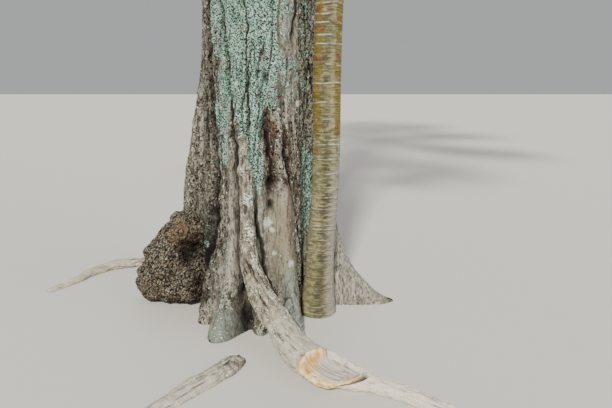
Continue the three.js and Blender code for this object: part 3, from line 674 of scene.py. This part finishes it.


# One surface root: ellipses carried along the smooth curve through its rows, pushed out by lumps and by
# fibres that run along it, with painted shade in the low places between the fibres. On the wounded root an
# oval of radius 1 in its own measure is scooped out of the top, by a power of 1 - r squared. Its lip is a
# bell near r = 1, on the near side and at the left end, and a painted shadow follows its outline as a dark
# gap, widest at the lower right.
def surfaceRoot(name, rows, rings, around, seed, hasWound=False):
    rings, around = int(rings * fine), int(around * fine)
    share = np.linspace(0, 1, rings)
    if hasWound:  # rings closer together at the wound
        middle = (wound["from"] + wound["to"]) / 2
        share = np.cumsum(1 / (1 + 1.6 * bell(share, middle, 0.16)))
        share = (share - share[0]) / (share[-1] - share[0])
    line = through(np.array(rows), share)
    ahead = unit(np.gradient(line[:, :3], axis=0))
    across = unit(np.cross(up, ahead))
    upwards = np.cross(ahead, across)
    angle = np.broadcast_to(2 * np.pi * np.arange(around) / around, (rings, around))
    girth = line[:, 3, None]
    swing = (girth * np.cos(angle))[..., None] * across[:, None]
    grid = line[:, None, :3] + swing + (line[:, 4, None] * np.sin(angle))[..., None] * upwards[:, None]
    normals = gridNormals(grid)
    travelled = np.r_[0, np.cumsum(np.linalg.norm(np.diff(line[:, :3], axis=0), axis=1))][:, None]
    coiled = np.stack([np.cos(angle) * girth, np.sin(angle) * girth, travelled * 0.12 + 0 * angle], -1)
    fibre = 0.5 + 0.5 * rough(coiled, 0.016, seed, 3)
    lumps = noise(grid, 0.09, seed + 5)
    grain = rough(grid, 0.02, seed + 7, 2)
    relief = rootRelief["lumps"] * lumps + rootRelief["fibre"] * (fibre - 0.5) + rootRelief["grain"] * grain
    trodden = softStep(share, 0.42, 0.62) * (0.45 + 0.4 * softStep(share, 0.6, 0.74) * hasWound)
    pale = np.broadcast_to(trodden[:, None], angle.shape)
    # painted shade: the low places between the fibres are darkened
    hollowShade = (0.7 - 0.5 * pale) * softStep(0.5 - fibre - 0.2 * lumps, 0.2, 0.5)
    lichen = np.clip(0.2 + 0.4 * rough(grid, 0.07, seed + 9, 3), 0, 0.55) * (1 - pale)
    rim = orange = 0
    deal = np.zeros((rings - 1, around), int)
    if hasWound:
        half = (wound["to"] - wound["from"]) / 2
        lengthways = (share[:, None] - wound["from"] - half) / half
        crosswise = np.degrees(turnBetween(angle, np.radians(wound["angle"]))) / wound["halfAngle"]
        skew = crosswise + 0.25 * lengthways
        distance = np.sqrt(lengthways ** 2 + skew ** 2) + 0.05 * rough(grid, 0.05, 77, 2)
        scoop = np.clip(1 - distance ** 2, 0, 1) ** 0.6
        lip = np.maximum(softStep(skew, -0.1, 0.5), softStep(-lengthways, 0.45, 0.8))  # none on the far side
        lowerRight = softStep(skew, 0.0, 0.4) * softStep(lengthways, 0.0, 0.45)
        outline = mix(0.78, 1.06, lip)
        edge = bell(distance, 0.96, 0.13) + 0.35 * bell(distance, 0.72, 0.05)
        relief = relief * (1 - softStep(scoop, 0, 0.3) * 0.8)
        relief = relief - wound["depth"] * scoop + wound["lip"] * edge * lip
        relief = relief - 0.02 * lowerRight * bell(distance, 1.1, 0.05)
        rim = softStep(distance, 0.4, 0.7) * lip
        leftEnd = softStep(-lengthways, 0.4, 0.65) * softStep(distance, 1.0, 0.8)
        innerWall = bell(distance, 0.7, 0.05) * softStep(lengthways, -0.1, 0.5)
        orange = lip * np.max([0.8 * innerWall, 0.75 * leftEnd, 0.6 * bell(distance, 1.0, 0.03)], 0)
        # painted shadow: a dark line along the wound's outline, wider under its lower right lip
        gapShadow = np.maximum(0.75 * bell(distance, outline, 0.02), lowerRight * bell(distance, 1.1, 0.06))
        hollowShade = np.where(distance < 1.25, np.maximum(gapShadow, hollowShade * softStep(distance, 1.0, 1.2)), hollowShade)
        inside = distance < outline
        deal = (inside[:-1] & inside[1:]).astype(int)
    grid = grid + normals * relief[..., None]
    buried = np.clip(-grid[..., 2] / 0.015, 0, 1)[..., None]  # drawn in to the middle under the ground
    grid[..., :2] = mix(grid[..., :2], line[:, None, :2], buried)
    grid[..., 2] = np.clip(grid[..., 2], 0, None)
    values = {"fibre": fibre, "pale": pale, "hollowShade": hollowShade, "lichen": lichen, "rim": rim, "orange": orange}
    deal = np.r_[deal.ravel(), np.zeros(2 * around, int)]  # the ends' triangles are bark
    addSkin(name, grid, [rootBark, tornWood], "bark", ["trunk"], values, deal)


surfaceRoot("root_front", frontRoot, 500, 96, 41, True)
for number, (name, rows) in enumerate(otherRoots.items()):
    surfaceRoot(name, rows, 170, 44, 51 + 10 * number)


# The burl's lumps: x, y and z of the middle and radius across and up, as in the part's source, then the rings
# and the points in a ring. It has a hole on its right and a coiled knob at its top.
burlLumps = {
    "burl_1": ((-0.64, -0.07, 0.27), (0.255, 0.255, 0.295), 190, 210),
    "burl_2": ((-0.575, -0.075, 0.49), (0.18, 0.18, 0.18), 110, 130),
    "burl_3": ((-0.78, -0.03, 0.15), (0.2, 0.2, 0.18), 110, 130),
}
burlHole = {"place": (-0.49, -0.24, 0.44), "size": 0.11, "depth": 0.07}
burlKnob = {"place": (-0.58, -0.23, 0.58), "size": 0.1, "coils": 15}
burlRelief = {"lumps": 0.024, "wart": 0.01, "wartSize": 0.034, "grain": 0.004, "coils": 0.006}


# One lump of the burl: a ball by polar angles, swelled by a product of sines and by lumps of noise, and
# covered in warts, which rise as 1 less the distance to the nearest random spot. The knob's coils are a
# cosine of the distance from it, inside a flat-topped bell.
def burlLump(name, middle, radii, rings, around):
    rings, around = int(rings * fine), int(around * fine)
    polar = np.linspace(np.pi, 0, rings + 2)[1:-1, None]
    angle = 2 * np.pi * np.arange(around)[None, :] / around
    p = np.stack([np.sin(polar) * np.cos(angle), np.sin(polar) * np.sin(angle),
                  np.cos(polar) + 0 * angle], -1)
    swell = 1 + 0.06 * np.sin(7 * p[..., 0] + 2 * p[..., 2]) * np.sin(6 * p[..., 1] - 1)
    swell = swell + 0.04 * np.sin(9 * p[..., 2] + 3 * p[..., 0])
    grid = middle + p * swell[..., None] * radii
    lumps = rough(grid, 0.13, 61, 2)
    grain = rough(grid, 0.012, 67, 2)
    toHole, toKnob = (np.linalg.norm(grid - spot["place"], axis=-1) / spot["size"]
                      for spot in (burlHole, burlKnob))
    hole, knob = np.exp(-(toHole ** 3)), np.exp(-(toKnob ** 4))
    coils = knob * np.cos(burlKnob["coils"] * toKnob + 2.5 * lumps + 2 * grain)
    bent = grid + 0.01 * noise(grid, 0.05, 66)[..., None]
    wart = np.clip(1.15 - 1.35 * spotDistance(bent, burlRelief["wartSize"], 63), 0, 1)
    wart = mix(wart, 0.6, 0.8 * knob)
    relief = burlRelief["lumps"] * lumps + burlRelief["wart"] * wart + burlRelief["grain"] * grain
    relief = relief + burlRelief["coils"] * coils - burlHole["depth"] * hole
    grid = grid + gridNormals(grid) * relief[..., None]
    grid[..., 2] = np.clip(grid[..., 2], 0, None)
    # painted shade: the hole, the low lumps and the troughs of the knob's coils are darkened
    hollowShade = 0.95 * hole + 0.5 * softStep(-lumps, 0.35, 0.8) + 0.55 * softStep(-coils, 0.2, 0.8)
    values = {"wart": wart, "hollowShade": hollowShade, "ochre": 0.45 * knob * softStep(grain, -0.6, 0.4)}
    addSkin(name, grid, [burlBark], "bark", ["trunk"], values)


for name, settings in burlLumps.items():
    burlLump(name, *settings)
print("roots and burl made,", sum(triangles), "triangles so far")


# The young stem

youngStem = {
    "x": 0.4, "y": -0.29, "lean": 0.0295, "top": 5.7, "radius": 0.092, "foot": 0.042, "footHeight": 0.23,
    "tipShare": 0.4, "bendFrom": 1.8, "bendX": 0.014, "bendY": -0.009, "bow": 0.02, "bowHeight": 1.05,
    "bowSpan": 0.45,
}
stemRelief = {"ring": 0.0022, "groove": 0.0015, "lumps": 0.003, "wrinkles": 0.0009}
# Heights of the rings left by old leaves, and their least and greatest spacing further up.
ringHeights = (
    0.026, 0.083, 0.134, 0.21, 0.29, 0.375, 0.42, 0.455, 0.49, 0.53, 0.56, 0.6, 0.635, 0.665, 0.7, 0.741,
    0.775, 0.81, 0.859, 0.93, 1.023, 1.12, 1.215, 1.247, 1.382, 1.484, 1.608, 1.724, 1.844, 1.903, 1.974,
    2.026, 2.089,
)
ringSpacing = (0.07, 0.14)


# The middle of the young stem at a height: it leans, bows out as a bell, and bends by the square further up.
def stemCentre(height):
    above = np.maximum(0, height - youngStem["bendFrom"])
    bow = youngStem["bow"] * bell(height, youngStem["bowHeight"], youngStem["bowSpan"])
    return np.stack([youngStem["x"] + youngStem["lean"] * height + bow + youngStem["bendX"] * above ** 2,
                     youngStem["y"] + youngStem["bendY"] * above ** 2, height + 0 * above], -1)


# The young stem's skin: circles round its bending middle, whose radius swells at the foot and thins by the
# cube of the height, with a thin raised ring at each height of the list, not quite level.
def ringedStem(name, low, high, rings, around):
    rings, around = int(rings * fine), int(around * fine)
    height = np.linspace(low, high, rings)[:, None]
    angle = np.broadcast_to(2 * np.pi * np.arange(around) / around + np.pi / 2, (rings, around))
    thin = 1 - (1 - youngStem["tipShare"]) * (height / youngStem["top"]) ** 3
    radius = (youngStem["radius"] + youngStem["foot"] * np.exp(-height / youngStem["footHeight"])) * thin
    flat = np.stack([np.cos(angle), np.sin(angle), 0 * angle], -1)
    grid = stemCentre(height) + radius[..., None] * flat
    marks = list(ringHeights)
    draw = draws(400)
    while marks[-1] < youngStem["top"] - 0.1:
        marks.append(marks[-1] + mix(*ringSpacing, next(draw)))
    ring = groove = 0
    for mark in marks:
        wave = 0.006 * next(draw) * np.sin(angle + 6 * next(draw))
        wave = wave + 0.0025 * np.sin(3 * angle + 6 * next(draw))
        strength = 0.45 + 0.55 * next(draw)
        ring = np.maximum(ring, strength * bell(height - mark - wave, 0, 0.0034))
        groove = np.maximum(groove, strength * bell(height - mark - wave, -0.008, 0.005))
    ring = ring * softStep(rough(grid * (1, 1, 0.3), 0.05, 83, 3), -0.45, 0.25)  # worn away here and there
    lumps = noise(grid * (1, 1, 0.5), 0.16, 85)
    wrinkles = rough(grid * (0.5, 0.5, 2.5), 0.02, 87, 2)
    relief = stemRelief["ring"] * ring - stemRelief["groove"] * groove
    relief = relief + stemRelief["lumps"] * lumps + stemRelief["wrinkles"] * wrinkles
    grid = grid + relief[..., None] * flat
    grid[..., 2] = np.clip(grid[..., 2], 0, youngStem["top"])
    upper = softStep(height, 0.75, 1.5)
    facing = np.degrees(turnBetween(angle, towardsCamera))
    sides = bell(facing, -46, 32) + bell(facing, 46, 26) + bell(facing, 160, 60)
    streak = bell(facing, -2 + 6 * np.sin(3 * height), 25)
    addSkin(name, grid, [youngBark], "young_bark", ["young_stem"], {
        "ring": (0.3 + 0.55 * softStep(height, 0.3, 1.2)) * ring,
        "algae": (0.08 + 0.72 * upper) * np.clip(sides + 0.3 * lumps, 0, 1),
        # the dark streak down the front is a stain; the dark line in the groove under each ring is painted
        # shade
        "streak": streak * (0.8 - 0.12 * upper) + 0.4 * groove,
        # painted light: a pale pinkish tone on the stem's right side, weaker on its left and higher up
        "pinkSideLight": bell(facing, 60, 38) * (0.9 - 0.5 * upper) + 0.35 * bell(facing, -75, 28),
        "rough": (0.35 - 0.15 * upper) * softStep(height, 0.02, 0.5),
    })


ringedStem("young_stem_low", 0, 2.4, 620, 72)
ringedStem("young_stem_high", 2.4, youngStem["top"], 280, 40)
print("young stem made,", sum(triangles), "triangles so far")


# The crown

# Ranges run from the lowest whorl to the highest.
crown = {
    "base": 8.7, "top": 16.75, "whorls": 7, "fives": 5, "limbWhorls": 4, "turn": 41, "reach": 4.6,
    "widest": 0.18, "roundness": 1.02, "rise": (0.04, 0.7), "risePower": 1.3, "droop": (0.74, 0.42),
    "upturn": (0.54, 0.16), "hang": (1, 0.1), "spread": (1.12, 0.806), "limbRadius": (0.096, 0.052),
    "sector": 29, "girth": 0.15,
}
young = {"azimuths": (-150, -75, 0), "height": 4.9, "drop": 0.17, "reach": 1.25, "shorter": 0.06, "rise": 0.5,
         "droop": 0.45, "upturn": 0.3, "hang": 0.5, "spread": 0.62, "sector": 50, "girth": 0.105,
         "limbRadius": 0.03, "sway": 0.05, "from": 0.15, "sideRopes": 7}
bareShare = 0.4
# The leafy ropes: leaves a metre, the size of a leaf, about twice life size so that fewer of them fill a rope,
# its slant from the twig in degrees, the twig's radius, and how many side ropes leave a bough and finer ropes
# leave each of them.
foliage = {"perMetre": 112, "length": 0.084, "width": 0.036, "slant": 46, "twig": 0.016,
           "sideRopes": 22, "finer": 4, "finerShare": 0.4, "tiers": (0.1, -0.35, 0.5)}


# The middle of the old trunk at a height.
def trunkCentre(height):
    return np.array([oldTrunk["lean"] * height, 0, height])


# The leaders that end the two stems, by the whorl that each is dressed with.
leaders = {
    "g": {"node": "leader_foliage", "foot": trunkCentre(oldTrunk["top"] - 0.03), "height": 0.95, "ring": 5,
          "seed": 3000},
    "young": {"node": "young_leader_foliage", "foot": stemCentre(np.array(youngStem["top"] - 0.03)),
              "height": 0.62, "ring": 4, "seed": 3001},
}


# The level direction at an angle from +X.
def level(angle):
    return np.array([np.cos(angle), np.sin(angle), 0])


# The four coefficients of a bough's line, a cubic in the share of its reach: it leaves the trunk, sags by the
# square and turns up by the cube.
def boughCubic(bough):
    reach, outwards = bough["reach"], level(bough["azimuth"])
    sideways = np.cross(up, outwards)
    return np.stack([bough["root"], outwards * reach + up * reach * bough["rise"],
                     sideways * reach * bough["sway"] - up * reach * bough["droop"],
                     up * reach * bough["upturn"]])


# Every bough of the crown, whorl by whorl, with the same draws as in the part's source, and those of the
# young stem.
def allBoughs():
    boughs = []
    for whorl in range(crown["whorls"]):
        share = whorl / (crown["whorls"] - 1)
        count = 5 if whorl < crown["fives"] else 4
        profile = np.sqrt(1 - ((share - crown["widest"]) / crown["roundness"]) ** 2)
        hasLimb = whorl < crown["limbWhorls"]
        for i in range(count):
            draw = draws(100 * whorl + i)
            boughs.append({
                "name": "abcdefg"[whorl] + str(i + 1), "whorl": "abcdefg"[whorl], "hasLimb": hasLimb,
                "root": trunkCentre(mix(crown["base"], crown["top"], share) + 0.3 * (next(draw) - 0.5)),
                "azimuth": np.radians(360 * i / count + crown["turn"] * whorl + 12 * (next(draw) - 0.5)),
                "reach": crown["reach"] * profile * (0.88 + 0.14 * next(draw)),
                "sway": 0.12 * (next(draw) - 0.5), "rise": mix(*crown["rise"], share ** crown["risePower"]),
                **{key: mix(*crown[key], share)
                   for key in ("droop", "upturn", "hang", "spread", "limbRadius")},
                "from": bareShare if hasLimb else 0.3, "sector": crown["sector"], "girth": crown["girth"],
                "sideRopes": foliage["sideRopes"], "seed": 1000 + 100 * whorl + i,
            })
            boughs[-1]["node"] = "foliage_" + boughs[-1]["name"]
    for i, azimuth in enumerate(young["azimuths"]):
        boughs.append({**young, "whorl": "young", "hasLimb": False, "node": "young_foliage_" + str(i + 1),
                       "root": stemCentre(np.array(young["height"] - young["drop"] * i)), "seed": 2000 + i,
                       "azimuth": np.radians(azimuth), "reach": young["reach"] - young["shorter"] * i})
    return boughs


# The point and the direction of cubics at shares: a + b s + c s squared + d s cubed, and its slope.
def onCubics(cubics, s):
    s = s[..., None]
    a, b, c, d = (cubics[..., i, :] for i in range(4))
    while a.ndim < s.ndim:
        a, b, c, d = (v[..., None, :] for v in (a, b, c, d))
    return a + b * s + c * s ** 2 + d * s ** 3, unit(b + 2 * c * s + 3 * d * s ** 2)


# Two directions square to a line and to each other, the first of them level where the line isn't upright.
def squareTo(ahead):
    side = unit(np.cross(ahead, np.where(np.abs(ahead[..., 2:]) < 0.9, up, [1.0, 0, 0])))
    return side, np.cross(ahead, side)


# A branchlet as a cubic: it leaves ahead and across at an angle, lifts, sags by the square and recovers by
# the cube of the share of its length.
def branchlet(start, ahead, across, length, angle, lift, sag):
    return np.stack([start, length * (ahead * np.cos(angle) + across * np.sin(angle) + up * lift),
                     -up * length * sag, up * length * 0.55 * sag])


# The ropes of a bough, by the rule of the part's source carried on to more of them: its own line beyond its
# bare share, then side ropes turn by turn to its two sides, shorter towards the tip, hanging low in the
# crown and rising high in it. Finer ropes leave each by the same rule. Each rope is a cubic, its length and
# its tone.
def ropesOf(bough):
    line = boughCubic(bough)
    a, b, c, d = line
    f, stretch, count = bough["from"], 1 - bough["from"], bough["sideRopes"]
    ropes = [(np.stack([a + b * f + c * f ** 2 + d * f ** 3, (b + 2 * c * f + 3 * d * f ** 2) * stretch,
                        (c + 3 * d * f) * stretch ** 2, d * stretch ** 3]), bough["reach"] * stretch, 0)]
    draw = draws(bough["seed"])
    sideways = np.cross(up, level(bough["azimuth"]))
    for i in range(count):
        along = (i + 0.6) / count
        u = mix(f, 0.96, along)
        angle = np.radians(62 - 16 * along + 10 * (next(draw) - 0.5))
        room = (bough["reach"] * u * np.tan(np.radians(bough["sector"])) - bough["girth"]) / np.sin(angle)
        length = min(room, bough["spread"] * (1 - 0.5 * along ** 2) * (0.86 + 0.28 * next(draw)))
        sag = bough["hang"] * (1 + 0.6 * next(draw))
        lift = 0.5 * (1 - bough["hang"]) + 0.6 * (next(draw) - 0.4) + foliage["tiers"][i // 2 % 3]
        next(draw)  # the part's source turns the teeth of its rope by this one
        start, ahead = onCubics(line, np.array(u))
        rope = branchlet(start, ahead, sideways * (1 if i % 2 else -1), length, angle, lift, sag)
        ropes.append((rope, length, 1 + int(3 * next(draw)) % 2))
        for j in range(foliage["finer"]):
            share = (j + 0.7) / foliage["finer"] * 0.9
            foot, forward = onCubics(rope, np.array(share))
            out = unit(np.cross(forward, up)) * (1 if j % 2 else -1) + up * 0.5 * (next(draw) - 0.6)
            finer = length * foliage["finerShare"] * (1.1 - 0.5 * share)
            twig = branchlet(foot, forward, out, finer, np.radians(48), 0.1, 0.3 * bough["hang"])
            ropes.append((twig, finer, 1 + int(3 * next(draw))))
    return ropes


# The ropes of a leader: one upright, and three rings of ropes that rise round it, each higher and shorter.
def leaderRopes(leader):
    draw = draws(leader["seed"])
    foot, height, none = leader["foot"], leader["height"], np.zeros(3)
    ropes = [(np.stack([foot, up * height, none, none]), height, 0)]
    for i in range(leader["ring"] * 3):
        angle = 2 * np.pi * (i + 0.5 * next(draw)) / leader["ring"]
        length = height * (0.86 + 0.2 * next(draw)) * (1 - 0.2 * (i // leader["ring"]))
        base = foot + up * height * (0.14 + 0.22 * (i // leader["ring"]))
        rising = level(angle) * 0.8 * length + up * 0.34 * length
        ropes.append((np.stack([base, rising, up * 0.16 * length, none]), length, 1 + i % 3))
    return ropes


# Leaves on ropes, all as arrays: leaf k stands at its share of the rope, turned round the twig by the golden
# angle times k, and slants forwards. Its outline is a kite of four faces with its widest place a third of the
# way, folded along the middle and arched.
def leafMesh(ropes, seed):
    cubics, lengths, tones = (np.array(column) for column in zip(*ropes))
    counts = np.maximum((lengths * foliage["perMetre"]).astype(int), 4)
    owner = np.repeat(np.arange(len(ropes)), counts)
    k = np.arange(len(owner)) - np.repeat(np.cumsum(counts) - counts, counts)
    share = (k + 0.5) / counts[owner]
    middle, ahead = onCubics(cubics[owner], share)
    side, other = squareTo(ahead)
    random = np.random.default_rng(seed)
    turn = (k * np.radians(137.5) + owner)[:, None]
    outwards = side * np.cos(turn) + other * np.sin(turn)
    s = share[:, None]
    slant = np.radians(foliage["slant"] * (1 - 0.45 * s ** 4) + 7 * random.standard_normal((len(k), 1)))
    size = foliage["length"] * (1 - 0.3 * s ** 3) * (0.85 + 0.3 * random.random((len(k), 1)))
    width = size * foliage["width"] / foliage["length"]
    along = ahead * np.cos(slant) + outwards * np.sin(slant)
    over = ahead * np.sin(slant) - outwards * np.cos(slant)
    flank = np.cross(ahead, outwards)
    base = middle + outwards * foliage["twig"] * 0.6
    widest, arch = base + along * size * 0.34, over * width * 0.12
    points = np.stack([base, widest + flank * width / 2 + arch, widest - flank * width / 2 + arch,
                       base + along * size * 0.6 - arch, base + along * size + over * size * 0.1], 1)
    kite = np.array([[0, 1, 3], [1, 4, 3], [4, 2, 3], [2, 0, 3]])
    faces = (5 * np.arange(len(k))[:, None, None] + kite).reshape(-1, 3)
    return points.reshape(-1, 3), faces, np.repeat(tones[owner], 4)


# Tubes of a few sides along cubics, all as arrays: rings at even shares, thinning towards the tip, and a pole
# at each end. Each row of radii is a tube's radius at its foot and at its tip.
def twigMesh(cubics, radii, steps, sides):
    radii = np.array(radii)
    share = np.broadcast_to(np.linspace(0, 0.98, steps), (len(radii), steps))
    middle, ahead = onCubics(np.array(cubics), share)
    side, other = squareTo(ahead)
    radius = mix(radii[:, :1], radii[:, 1:], np.linspace(0, 1, steps))
    angle = 2 * np.pi * np.arange(sides) / sides
    rings = middle[:, :, None] + radius[:, :, None, None] * (
        side[:, :, None] * np.cos(angle)[:, None] + other[:, :, None] * np.sin(angle)[:, None])
    poles = np.stack([middle[:, 0], middle[:, -1] + ahead[:, -1] * radius[:, -1, None]], 1)
    points = np.concatenate([rings.reshape(len(radii), -1, 3), poles], 1)
    first = points.shape[1] * np.arange(len(radii))[:, None, None]
    faceSets = [(faces + first).reshape(-1, faces.shape[1]) for faces in skinFaces(steps, sides)]
    return points.reshape(-1, 3), faceSets


limb = {"tipShare": 0.58, "collar": 0.034, "collarFade": 7, "wrinkles": 0.004, "lumps": 0.006}


# A bare limb: circles along the bough's line up to its leaves, whose radius shrinks evenly from an
# exponential collar at the trunk, with level wrinkles and lumps of noise, and painted shade in the
# wrinkles' grooves.
def bareLimb(bough, rings, around):
    rings, around = int(rings * fine), int(around * fine)
    share = np.linspace(0, bareShare, rings)
    along = share / bareShare
    middle, ahead = onCubics(boughCubic(bough), share)
    side, other = squareTo(ahead)
    angle = 2 * np.pi * np.arange(around) / around
    radius = bough["limbRadius"] * mix(1, limb["tipShare"], along)
    radius = radius + limb["collar"] * np.exp(-limb["collarFade"] * along)
    ring = side[:, None] * np.cos(angle)[:, None] + other[:, None] * np.sin(angle)[:, None]
    grid = middle[:, None] + radius[:, None, None] * ring
    travelled = np.broadcast_to((share * bough["reach"])[:, None], (rings, around))
    coiled = np.stack([0.05 * np.cos(angle) + 0 * travelled, 0.05 * np.sin(angle) + 0 * travelled,
                       travelled * 2 + bough["azimuth"]], -1)
    wrinkles = rough(coiled, 0.09, 91, 3)
    grid = grid + (limb["wrinkles"] * wrinkles + limb["lumps"] * noise(grid, 0.12, 95))[..., None] * ring
    # painted shade: the grooves of the wrinkles are darkened
    addSkin("limb_" + bough["name"], grid, [limbBark], "limb_bark", ["bough_" + bough["name"]],
            {"hollowShade": 0.8 * softStep(-wrinkles, 0.2, 0.7)})


whorls = {}
for bough in allBoughs():
    whorls.setdefault(bough["whorl"], []).append(bough)
    if bough["hasLimb"]:
        bareLimb(bough, 60, 16)
print("limbs made,", sum(triangles), "triangles so far")

for number, (whorl, boughs) in enumerate(whorls.items()):
    nodes = [bough["node"] for bough in boughs]
    ropes = [rope for bough in boughs for rope in ropesOf(bough)]
    if whorl in leaders:
        nodes.append(leaders[whorl]["node"])
        ropes += leaderRopes(leaders[whorl])
    points, faces, deal = leafMesh(ropes, 500 + number)
    addPiece("leaves_" + whorl, points, [faces], leaves, "leaves", nodes, deal=deal, smooth=False)
    radii = [(foliage["twig"] * (2.2 if rope[2] == 0 else 1.2), 0.006) for rope in ropes]
    twigs = twigMesh([rope[0] for rope in ropes], radii, 5, 4)
    addPiece("twigs_" + whorl, *twigs, [twigBark], "leaves", nodes)
    if not boughs[0]["hasLimb"]:  # such a whorl's stems are in its masses
        radii = [(bough["limbRadius"], 0.012) for bough in boughs]
        stems = twigMesh([boughCubic(bough) for bough in boughs], radii, 24, 10)
        addPiece("stems_" + whorl, *stems, [limbBark], "limb_bark", nodes)
print("foliage made,", sum(triangles), "triangles in all")


# Floor, light and camera

floorMesh = bpy.data.meshes.new("floor")
floorMesh.from_pydata([(-400, -400, 0), (400, -400, 0), (400, 400, 0), (-400, 400, 0)], [], [(0, 1, 2, 3)])
floor = bpy.data.objects.new("floor", floorMesh)
bpy.context.scene.collection.objects.link(floor)
floorMesh.materials.append(makeMaterial("pale_studio_floor", {
    "roughness": 0.95, "specular": 0.1, "colours": {"stone": "#cfcbc2"},
}))

world = bpy.data.worlds.new("soft_sky")
world.use_nodes = True
world.node_tree.nodes["Background"].inputs["Color"].default_value = tone("#eef1f2")
world.node_tree.nodes["Background"].inputs["Strength"].default_value = 0.5
bpy.context.scene.world = world

suns = (("key_light", (50, 0, -10), 4.5, 6, "#fffcf6"), ("fill_light", (58, 0, 70), 0.8, 40, "#e8f0ff"),
        ("back_light", (50, 0, 190), 0.7, 40, "#f2f5ff"))
for name, turned, strength, spread, code in suns:
    light = bpy.data.lights.new(name, "SUN")
    light.energy, light.angle, light.color = strength, np.radians(spread), tone(code)[:3]
    lamp = bpy.data.objects.new(name, light)
    lamp.rotation_euler = [np.radians(value) for value in turned]
    bpy.context.scene.collection.objects.link(lamp)

# The photograph's view: the eye at 1.55 m, three metres from the trunk, looking a little down, with a wide
# 28 mm lens on a 36 mm frame.
view = {"place": (0.315, -3.5, 1.55), "down": 13.2, "lens": 28}
lens = bpy.data.cameras.new("camera")
lens.lens, lens.sensor_width = view["lens"], 36
camera = bpy.data.objects.new("camera", lens)
camera.location = view["place"]
camera.rotation_euler = (np.radians(90 - view["down"]), 0, 0)
bpy.context.scene.collection.objects.link(camera)
bpy.context.scene.camera = camera
print("stage, lights and camera made")
